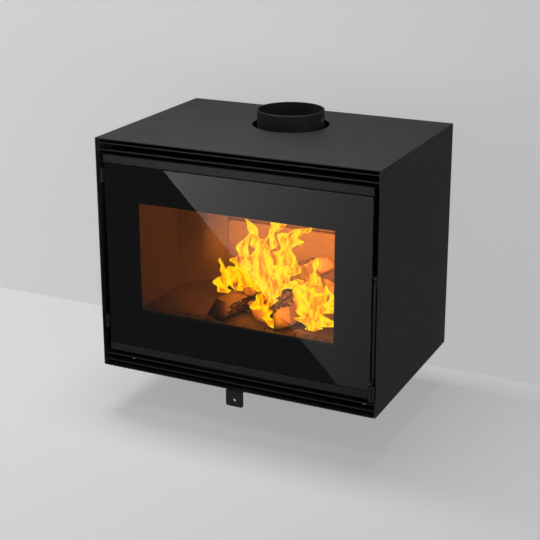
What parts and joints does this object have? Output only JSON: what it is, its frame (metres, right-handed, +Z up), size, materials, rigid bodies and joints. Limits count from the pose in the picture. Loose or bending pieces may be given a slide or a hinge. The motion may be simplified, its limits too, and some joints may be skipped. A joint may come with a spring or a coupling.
{
  "type": "fireplace insert",
  "caption": "Built-in wood-burning fireplace insert: steel casing with air louvres, hinged double-glazed door, side lever handle, brick-lined firebox, round flue collar and sliding air control.",
  "frame": {"origin": "centre of the base's bolt pattern, on the underside of the casing's base", "axes": "+X to the right as seen from the front, +Y to the rear, so the door faces -Y, +Z up along the flue"},
  "size_m": [0.65, 0.5052, 0.5975],
  "materials": {
    "black_paint": "satin",
    "heat_black": "matte",
    "firebrick": "matte",
    "zinc_steel": "satin",
    "clear_glass": "gloss",
    "black_print": "gloss",
    "glass_rope": "matte",
    "grip": "satin"
  },
  "bodies": {
    "casing": {"casing_top": "black_paint", "casing_left": "black_paint", "casing_right": "black_paint", "casing_base": "black_paint", "casing_back": "black_paint", "casing_screws": "zinc_steel", "blade_top_upper": "black_paint", "blade_top_lower": "black_paint", "blade_bottom_upper": "black_paint", "blade_bottom_lower": "black_paint", "louvre_end_plates": "black_paint", "shell_top": "heat_black", "shell_bottom": "heat_black", "shell_left": "heat_black", "shell_right": "heat_black", "shell_rear": "heat_black", "front_frame": "black_paint", "support_rail_left": "heat_black", "support_rail_right": "heat_black", "air_box": "heat_black", "air_spigot": "heat_black", "damper_guides": "heat_black", "airwash_duct": "heat_black", "smoke_shelf": "heat_black", "baffle_plate": "firebrick", "lining_left": "firebrick", "lining_right": "firebrick", "lining_corner_left": "firebrick", "lining_corner_right": "firebrick", "lining_rear": "firebrick", "fireback_plate": "firebrick", "floor_brick_left": "firebrick", "floor_brick_middle": "firebrick", "floor_brick_right": "firebrick", "front_sill": "heat_black", "log_guard": "heat_black", "flue_collar": "black_paint", "flue_gasket": "glass_rope", "flue_bolts": "zinc_steel", "collar_screws": "zinc_steel", "heat_shield": "heat_black", "shield_spacers": "heat_black", "hinge_lower_bracket": "black_paint", "hinge_upper_bracket": "black_paint", "latch_clip": "zinc_steel"},
    "door": {"door_frame": "black_paint", "door_glass": "clear_glass", "glass_border": "black_print", "inner_frame": "black_paint", "inner_pane": "clear_glass", "pane_tape": "glass_rope", "pane_clips": "black_paint", "door_rope": "glass_rope", "hinge_lower_knuckle": "black_paint", "hinge_upper_knuckle": "black_paint", "lever_pivot": "zinc_steel"},
    "handle": {"door_lever": "black_paint", "lever_grip": "grip"},
    "air_control": {"damper_plate": "heat_black", "air_lever": "black_paint"}
  },
  "joints": [
    {"name": "door_swing", "type": "hinge", "parent": "casing", "child": "door", "pos_m": [-0.3165, -0.217, 0.26], "axis": [0, 0, -1], "range_deg": [0, 110], "deforming": ["latch_clip"]},
    {"name": "handle_pull", "type": "hinge", "parent": "door", "child": "handle", "pos_m": [0.3172, -0.207, 0.297], "axis": [-1, 0, 0], "range_deg": [0, 25]},
    {"name": "air_slide", "type": "slide", "parent": "casing", "child": "air_control", "axis": [1, 0, 0], "range_m": [-0.015, 0.015]}
  ]
}
